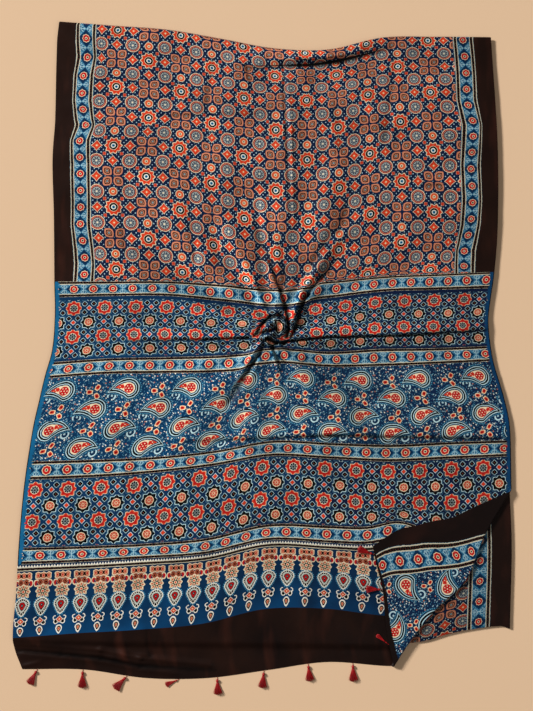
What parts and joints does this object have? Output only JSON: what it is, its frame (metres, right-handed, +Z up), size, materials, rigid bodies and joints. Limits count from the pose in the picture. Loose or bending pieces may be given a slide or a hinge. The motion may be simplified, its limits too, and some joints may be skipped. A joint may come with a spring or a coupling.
{
  "type": "ajrakh saree cloth",
  "caption": "Block-printed ajrakh saree in fine cloth, laid face up in back-and-forth layers, with a pinched middle, a turned corner and a tasselled end.",
  "frame": {"origin": "on the ground, under the middle of the whole outline seen from above, tassels included", "axes": "+X across the cloth to the right edge, +Y along the cloth from the tasselled hem to the top fold, +Z up off the ground"},
  "size_m": [1.1186, 1.5113, 0.0278],
  "materials": {
    "printed_cloth": "fine woven cloth with a soft satin sheen, block printed in indigo, madder red, black and white",
    "tassel_thread": "dark red silky thread"
  },
  "bodies": {
    "root": {"cloth": "printed_cloth", "tassel_01": "tassel_thread", "tassel_02": "tassel_thread", "tassel_03": "tassel_thread", "tassel_04": "tassel_thread", "tassel_05": "tassel_thread", "tassel_06": "tassel_thread", "tassel_07": "tassel_thread", "tassel_08": "tassel_thread", "tassel_09": "tassel_thread", "tassel_10": "tassel_thread", "tassel_11": "tassel_thread"}
  },
  "joints": []
}
